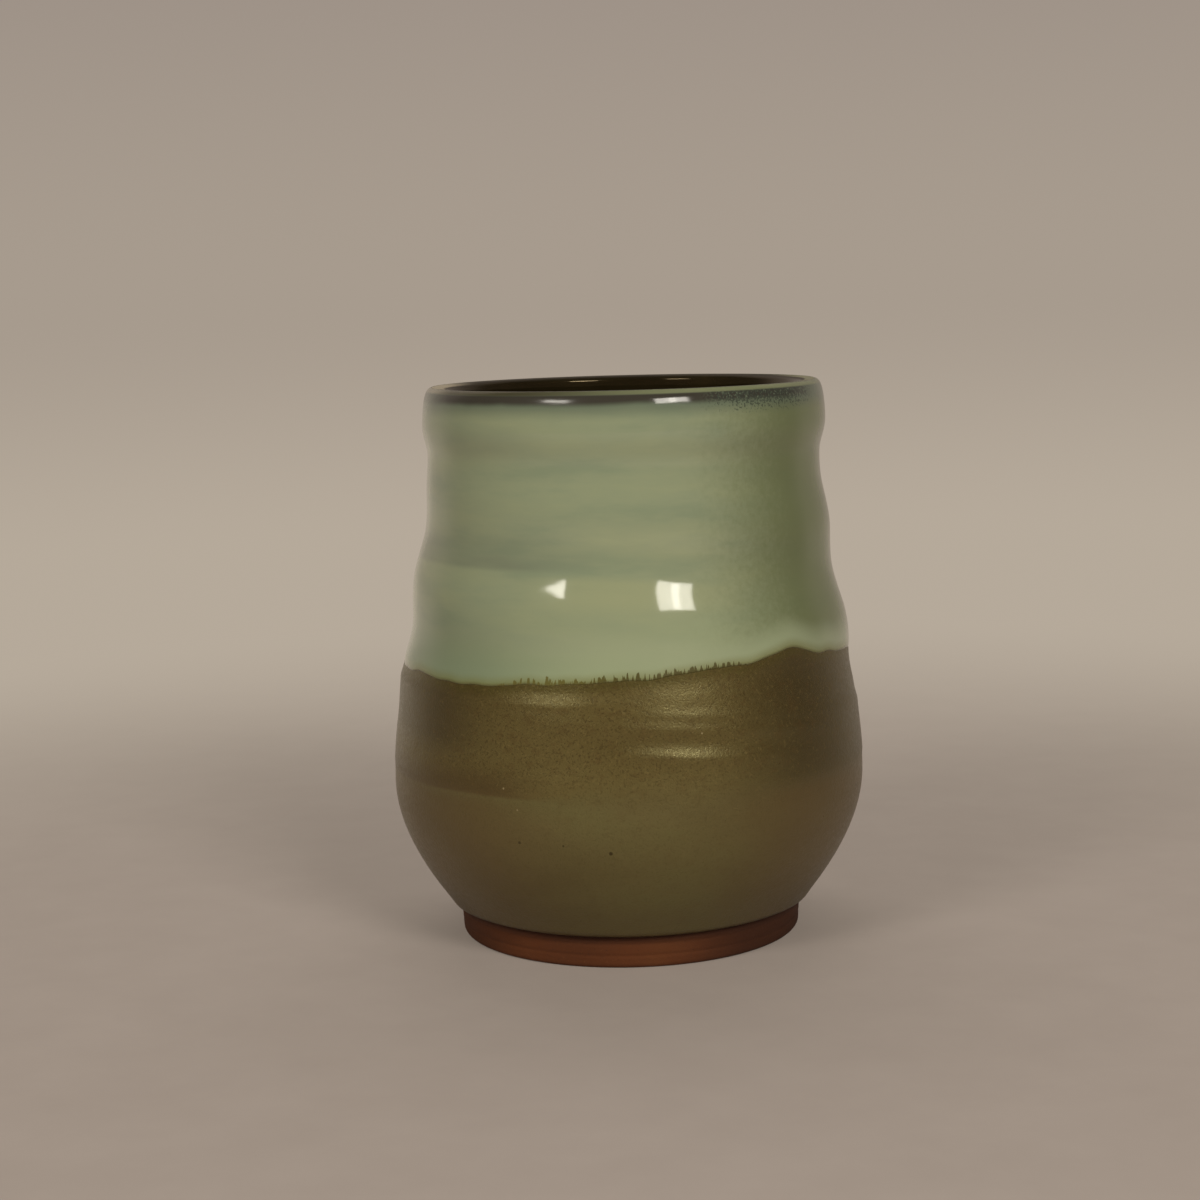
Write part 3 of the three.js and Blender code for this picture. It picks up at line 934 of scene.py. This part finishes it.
def paper_finish():
    """Matt lit paper near the cup, and a painted glow of its own further off."""
    material, tree, shader = new_finish("paper", Roughness=0.9)
    fill(tree, shader.inputs["Base Color"], ramp(tree, noise(tree, (60, 60, 60), 3.0, 0.6), PAPER))
    place = node(tree, "TexCoord").outputs["Object"]
    distance = node(tree, "VectorMath", {0: place}, operation="LENGTH").outputs["Value"]
    far = span(tree, window(tree, distance, *FAR), 0.3, 1.0)
    rays = node(tree, "LightPath").outputs
    bearing, height = bearing_and_height(tree)
    right = product(tree, window(tree, bearing, 104, 124), 0.48)
    left = product(tree, window(tree, bearing, -100, -130), 0.9)
    shiny = product(tree, rays["Is Glossy Ray"], calc(tree, "MAXIMUM", right, left))
    seen = product(tree, calc(tree, "MAXIMUM", rays["Is Camera Ray"], shiny), far)
    beside = window(tree, calc(tree, "ABSOLUTE", bearing), 174, 150)
    strength = span(tree, product(tree, rays["Is Glossy Ray"], beside), 1.0, SIDE_GLOW)
    depth = node(tree, "SeparateXYZ", {"Vector": place}).outputs["Y"]
    # The far paper's tone is painted light: a glow, brighter towards the back and dimmer higher up
    tone = blend(tree, window(tree, depth, -0.12, 0.3), FRONT_TONE, BACK_TONE)
    tone = blend(tree, window(tree, height, -60, 110), tone, WALL_TONE)
    tone = blend(tree, window(tree, height, 120, 420), tone, HIGH_TONE)
    glow = node(tree, "Emission", {"Color": tone, "Strength": strength}).outputs["Emission"]
    mixed = node(tree, "MixShader", {0: seen, 1: shader.outputs["BSDF"], 2: glow}).outputs["Shader"]
    fill(tree, tree.nodes["Material Output"].inputs["Surface"], mixed)
    return material


dress(sweep, paper_finish())

# %% [markdown]
# ## Light
# Two soft boxes stand left and right of the camera and give the two bright reflections on the glaze: the
# right one with its bulb showing, the left one turned a little on its stand. Two broad lamps beside them,
# one high behind and a dim world only fill the shadows, so the lamps among them don't show in reflections.
# A picture of a room could light the cup too, but lamps can be set where the real glaze shows them.

# %% Lamps
LAMP_DISTANCE = 0.9
LAMP_COLOUR = (1.0, 0.95, 0.85)
TARGET = Vector((0, 0, 0.06))


def soft_lamp(name, azimuth, elevation, width, height, watts, roll=0.0):
    """A rectangular lamp that looks at the cup; azimuth 0 is the camera's side, positive to the right.

    Roll turns it about its own line of sight. Angles are in degrees and sizes in metres.
    """
    turn, rise = math.radians(azimuth), math.radians(elevation)
    way = Vector((math.sin(turn) * math.cos(rise), -math.cos(turn) * math.cos(rise), math.sin(rise)))
    light = bpy.data.lights.new(name, "AREA")
    light.shape = "RECTANGLE"
    light.size = width
    light.size_y = height
    light.energy = watts
    light.color = LAMP_COLOUR
    lamp = bpy.data.objects.new(name, light)
    facing = way.to_track_quat("Z", "Y").to_matrix().to_4x4()
    facing = facing @ Matrix.Rotation(math.radians(roll), 4, "Z")
    lamp.matrix_world = Matrix.Translation(TARGET + way * LAMP_DISTANCE) @ facing
    lamp.visible_camera = False
    bpy.context.scene.collection.objects.link(lamp)
    print(name, "watts:", watts)
    return lamp


soft_lamp("right_lamp", azimuth=28, elevation=27.4, width=0.28, height=0.155, watts=1.7)
soft_lamp("right_bulb", azimuth=28.4, elevation=27.4, width=0.06, height=0.145, watts=0.2)
soft_lamp("left_lamp", azimuth=-40.1, elevation=29.4, width=0.215, height=0.09, watts=0.92, roll=-7)
fill_lamps = [
    soft_lamp("right_fill", azimuth=26, elevation=27, width=0.3, height=0.3, watts=2.5),
    soft_lamp("left_fill", azimuth=-37, elevation=27, width=0.3, height=0.3, watts=2.15),
    soft_lamp("back_fill", azimuth=180, elevation=55, width=0.9, height=0.6, watts=3.2),
]
for lamp in fill_lamps:
    lamp.visible_glossy = False

# %% World
WORLD_COLOUR = (0.95, 0.92, 0.86, 1)
WORLD_STRENGTH = 0.1
world = bpy.data.worlds.new("studio")
world.use_nodes = True
background = world.node_tree.nodes["Background"].inputs
background["Color"].default_value = WORLD_COLOUR
background["Strength"].default_value = WORLD_STRENGTH
bpy.context.scene.world = world

# %% [markdown]
# ## Camera
# The photograph was taken from just above the rim, slightly turned and rolled, with a lens that sees 29
# degrees. The camera could be set by eye, but lip and foot are ellipses whose shapes give its place.

# %% Camera
EYE = Vector((-0.0003, -0.4216, 0.1166))
PITCH_DOWN = 7.592
YAW = -0.541
ROLL = -1.48
SENSOR = 36.0  # millimetres wide
LENS = 69.77  # millimetres
camera_data = bpy.data.cameras.new("camera")
camera_data.sensor_width = SENSOR
camera_data.lens = LENS
camera = bpy.data.objects.new("camera", camera_data)
camera.matrix_world = (
    Matrix.Translation(EYE)
    @ Matrix.Rotation(math.radians(-YAW), 4, "Z")
    @ Matrix.Rotation(math.radians(90 - PITCH_DOWN), 4, "X")
    @ Matrix.Rotation(math.radians(ROLL), 4, "Z")
)
bpy.context.scene.collection.objects.link(camera)
bpy.context.scene.camera = camera
bpy.context.scene.view_settings.view_transform = "Standard"
print("lens sees", round(math.degrees(camera_data.angle), 1), "degrees")
